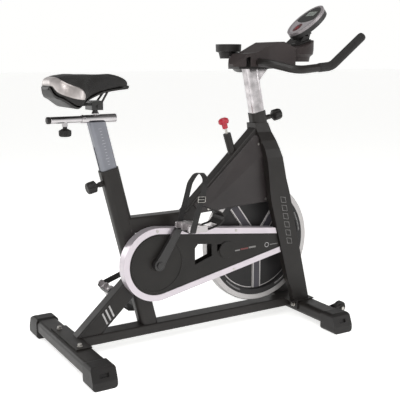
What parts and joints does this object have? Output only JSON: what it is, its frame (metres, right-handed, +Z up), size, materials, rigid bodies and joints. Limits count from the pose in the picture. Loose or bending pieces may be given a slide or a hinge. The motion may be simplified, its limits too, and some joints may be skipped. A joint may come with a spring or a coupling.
{
  "type": "exercise bike",
  "caption": "Indoor spin bike: steel frame on two floor bars, belt-driven flywheel in a fork, push brake, sliding saddle, curved handlebar with tray and tilting console.",
  "frame": {"origin": "on the floor below the middle of the overall length, on the centre plane", "axes": "+X towards the handlebar, -Y the rider's right and drive side, +Z up"},
  "size_m": [1.1201, 0.584, 1.161],
  "materials": {
    "black_paint": "satin powder coat",
    "cast_iron": "black painted casting with a bright machined rim",
    "bright_trim": "bright silver paint",
    "black_plastic": "fine textured",
    "console_plastic": "silver bezel over a black back",
    "screen_glass": "glossy black window",
    "button_plastic": "dark red",
    "zinc": "zinc plated",
    "satin_post": "satin grey steel",
    "chrome": "bright chrome",
    "aluminium": "cast silver",
    "belt_rubber": "ribbed",
    "strap": "woven strap",
    "grip_foam": "foam grip",
    "wheel_rubber": "hard rubber",
    "brake_felt": "brown felt pad",
    "red_plastic": "red knob",
    "clamp_steel": "black",
    "vinyl": "black vinyl cover with silver side panels"
  },
  "bodies": {
    "frame": {"lower_beam": "black_paint", "seat_tube": "black_paint", "mid_tube": "black_paint", "diagonal_tube": "black_paint", "head_tube": "black_paint", "fork": "black_paint", "rear_strut": "black_paint", "rear_stabilizer": "black_paint", "front_stabilizer": "black_paint", "end_caps": "black_plastic", "frame_fasteners": "zinc", "guard_cover": "black_plastic", "guard_trim": "bright_trim", "guard_back": "black_plastic", "cover_screws": "zinc", "side_panels": "black_plastic", "flywheel_axle": "zinc", "bracket_bearings": "zinc", "drive_belt": "belt_rubber", "brake_housing": "black_plastic", "post_bushings": "black_plastic"},
    "flywheel_set": {"flywheel": "cast_iron", "flywheel_bearings": "zinc", "driven_pulley": "aluminium"},
    "cranks": {"crank_axle": "zinc", "drive_pulley": "aluminium", "crank_arms": "black_paint", "crank_bolts": "zinc", "pedal_axles": "zinc"},
    "pedal_right_set": {"pedal_right": "aluminium", "toe_cage_right": "black_plastic", "toe_strap_right": "strap"},
    "pedal_left_set": {"pedal_left": "aluminium", "toe_cage_left": "black_plastic", "toe_strap_left": "strap"},
    "brake": {"brake_rod": "zinc", "brake_pad": "brake_felt"},
    "brake_knob_set": {"brake_knob": "red_plastic"},
    "seat_pin_set": {"seat_pin": "black_plastic"},
    "bar_pin_set": {"bar_pin": "black_plastic"},
    "seat_post_set": {"seat_post": "satin_post", "slider_sleeve": "chrome"},
    "slider_set": {"slider_tube": "chrome", "saddle_clamp": "clamp_steel", "saddle_rails": "zinc", "saddle_shell": "black_plastic", "saddle_cushion": "vinyl"},
    "slider_knob_set": {"slider_knob": "black_plastic"},
    "bar_post_set": {"bar_post": "chrome", "bar_plate": "black_paint", "handlebar": "black_paint", "grips": "grip_foam", "tray": "black_plastic", "bottle_holder": "black_plastic", "console_bracket": "black_plastic"},
    "console": {"console_body": "console_plastic", "console_screen": "screen_glass"},
    "console_button_set": {"console_button": "button_plastic"},
    "wheel_right_set": {"wheel_right": "wheel_rubber"},
    "wheel_left_set": {"wheel_left": "wheel_rubber"}
  },
  "joints": [
    {"name": "flywheel_spin", "type": "hinge", "parent": "frame", "child": "flywheel_set", "pos_m": [0.23, 0, 0.303], "axis": [0, 1, 0], "continuous": true},
    {"name": "crank_spin", "type": "hinge", "parent": "frame", "child": "cranks", "pos_m": [-0.213, 0, 0.29], "axis": [0, 1, 0], "continuous": true},
    {"name": "pedal_right_spin", "type": "hinge", "parent": "cranks", "child": "pedal_right_set", "pos_m": [-0.12586, -0.14, 0.42419], "axis": [0, 1, 0], "continuous": true},
    {"name": "pedal_left_spin", "type": "hinge", "parent": "cranks", "child": "pedal_left_set", "pos_m": [-0.30014, 0.14, 0.15581], "axis": [0, 1, 0], "continuous": true},
    {"name": "brake_push", "type": "slide", "parent": "frame", "child": "brake", "axis": [-0.3032, 0, 0.9529], "range_m": [-0.002, 0], "stiffness_N_per_m": 4000, "springref_m": 0.003},
    {"name": "brake_knob_turn", "type": "hinge", "parent": "brake", "child": "brake_knob_set", "pos_m": [0.09053, 0, 0.74135], "axis": [-0.3032, 0, 0.9529], "continuous": true},
    {"name": "seat_pin_pull", "type": "slide", "parent": "frame", "child": "seat_pin_set", "axis": [-0.9713, 0, -0.238], "range_m": [0, 0.008], "stiffness_N_per_m": 1200, "springref_m": -0.004},
    {"name": "bar_pin_pull", "type": "slide", "parent": "frame", "child": "bar_pin_set", "axis": [0.9789, 0, 0.2045], "range_m": [0, 0.008], "stiffness_N_per_m": 1200, "springref_m": -0.004},
    {"name": "seat_height", "type": "slide", "parent": "frame", "child": "seat_post_set", "axis": [-0.238, 0, 0.9713], "range_m": [-0.1, 0.1]},
    {"name": "seat_fore_aft", "type": "slide", "parent": "seat_post_set", "child": "slider_set", "axis": [1, 0, 0], "range_m": [-0.035, 0.008]},
    {"name": "slider_knob_turn", "type": "hinge", "parent": "slider_set", "child": "slider_knob_set", "pos_m": [-0.499, 0, 0.745], "axis": [0, 0, 1], "continuous": true},
    {"name": "bar_height", "type": "slide", "parent": "frame", "child": "bar_post_set", "axis": [-0.2045, 0, 0.9789], "range_m": [-0.06, 0.06]},
    {"name": "console_tilt", "type": "hinge", "parent": "bar_post_set", "child": "console", "pos_m": [0.441, 0, 1.059], "axis": [0, 1, 0], "range_deg": [-10, 25]},
    {"name": "console_button_press", "type": "slide", "parent": "console", "child": "console_button_set", "axis": [-0.6157, 0, 0.788], "range_m": [-0.0015, 0], "stiffness_N_per_m": 600, "springref_m": 0.001},
    {"name": "wheel_right_spin", "type": "hinge", "parent": "frame", "child": "wheel_right_set", "pos_m": [0.48, -0.192, 0.058], "axis": [0, 1, 0], "continuous": true},
    {"name": "wheel_left_spin", "type": "hinge", "parent": "frame", "child": "wheel_left_set", "pos_m": [0.48, 0.192, 0.058], "axis": [0, 1, 0], "continuous": true}
  ],
  "couplings": [
    {"joint": "crank_spin", "follows": "flywheel_spin", "ratio": 0.3333}
  ]
}
